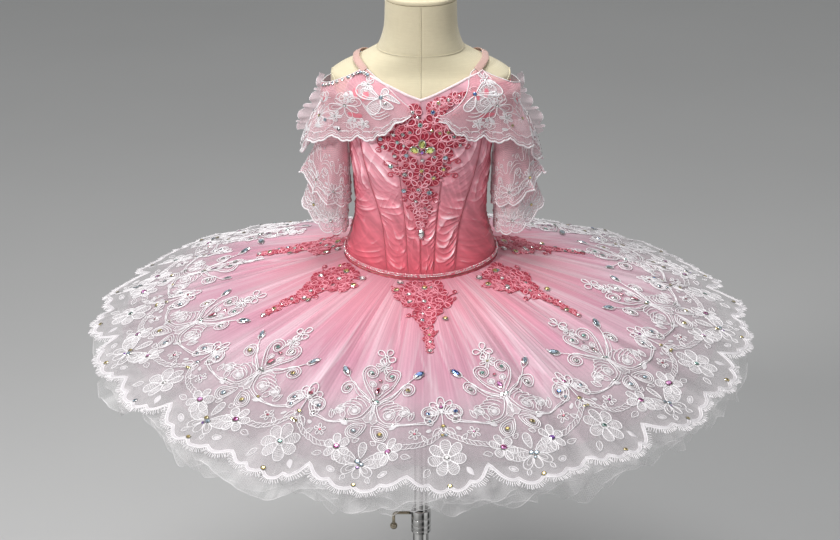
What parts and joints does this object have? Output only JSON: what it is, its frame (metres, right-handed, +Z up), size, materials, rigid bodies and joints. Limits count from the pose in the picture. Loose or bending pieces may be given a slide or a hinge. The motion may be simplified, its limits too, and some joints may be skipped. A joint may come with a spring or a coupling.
{
  "type": "ballet tutu on dress form",
  "caption": "Child's stretch-plate tutu with satin bodice, lace sleeves and embroidered net skirt, worn by a limbless dress form on a clamped stand.",
  "frame": {"origin": "centre of the base plate's flat underside, on the floor, below the mast's axis", "axes": "+Z up along the mast; -Y is the wearer's front; +X is the wearer's left"},
  "size_m": [0.8603, 0.858, 1.0513],
  "materials": {
    "satin": "duchess satin, light pink at the neckline to coral at the hem, with drag lines",
    "overlay_tulle": "soft nylon tulle, pink at the hem to pale pink-grey at the rim, gathered",
    "lace": "white thread embroidery on fine net, corded scalloped edge with eyelash fringe and stones",
    "stiff_net": "stiff net, pale grey-pink, ragged cut edges",
    "sleeve_lace": "dusty pink net with white corded embroidery and scalloped edges",
    "applique": "coral corded guipure lace with stones",
    "beading": "narrow braid of small silver and pink beads",
    "elastic": "nude pink satin-faced elastic",
    "form_jersey": "cream cotton jersey pulled over a smooth form",
    "polished_steel": "polished chrome plate",
    "lever_brass": "dulled brass-toned plate",
    "base_paint": "satin grey powder coat"
  },
  "bodies": {
    "stand": {"stand_base": "base_paint", "stand_hub": "polished_steel", "stand_tube": "polished_steel", "clamp_collar": "polished_steel"},
    "lever": {"clamp_lever": "lever_brass"},
    "mast": {"mast": "polished_steel"},
    "figure": {"applique_back_left": "applique", "applique_back_right": "applique", "applique_front": "applique", "applique_front_left": "applique", "applique_front_right": "applique", "applique_side_left": "applique", "applique_side_right": "applique", "back_placket": "satin", "basque": "satin", "bertha_left": "sleeve_lace", "bertha_right": "sleeve_lace", "bodice_applique": "applique", "bodice_back_left": "satin", "bodice_back_right": "satin", "bodice_front_centre_left": "satin", "bodice_front_centre_right": "satin", "bodice_front_left": "satin", "bodice_front_right": "satin", "bodice_side_back_left": "satin", "bodice_side_back_right": "satin", "bodice_side_front_left": "satin", "bodice_side_front_right": "satin", "form_torso": "form_jersey", "frill_left": "stiff_net", "frill_right": "stiff_net", "lace_border": "lace", "neck_cap": "form_jersey", "net_tier_1": "stiff_net", "net_tier_2": "stiff_net", "net_tier_3": "stiff_net", "skirt_overlay": "overlay_tulle", "sleeve_flounce_left": "sleeve_lace", "sleeve_flounce_right": "sleeve_lace", "sleeve_tube_left": "sleeve_lace", "sleeve_tube_right": "sleeve_lace", "strap_left": "elastic", "strap_right": "elastic", "waist_braid": "beading"}
  },
  "joints": [
    {"name": "lever_turn", "type": "hinge", "parent": "stand", "child": "lever", "pos_m": [-0.0138, 0, 0.314], "axis": [-1, 0, 0], "range_deg": [0, 180]},
    {"name": "mast_slide", "type": "slide", "parent": "stand", "child": "mast", "axis": [0, 0, 1], "range_m": [-0.06, 0.14]},
    {"name": "figure_turn", "type": "hinge", "parent": "mast", "child": "figure", "pos_m": [0, 0, 0.5397], "axis": [0, 0, 1], "continuous": true}
  ]
}
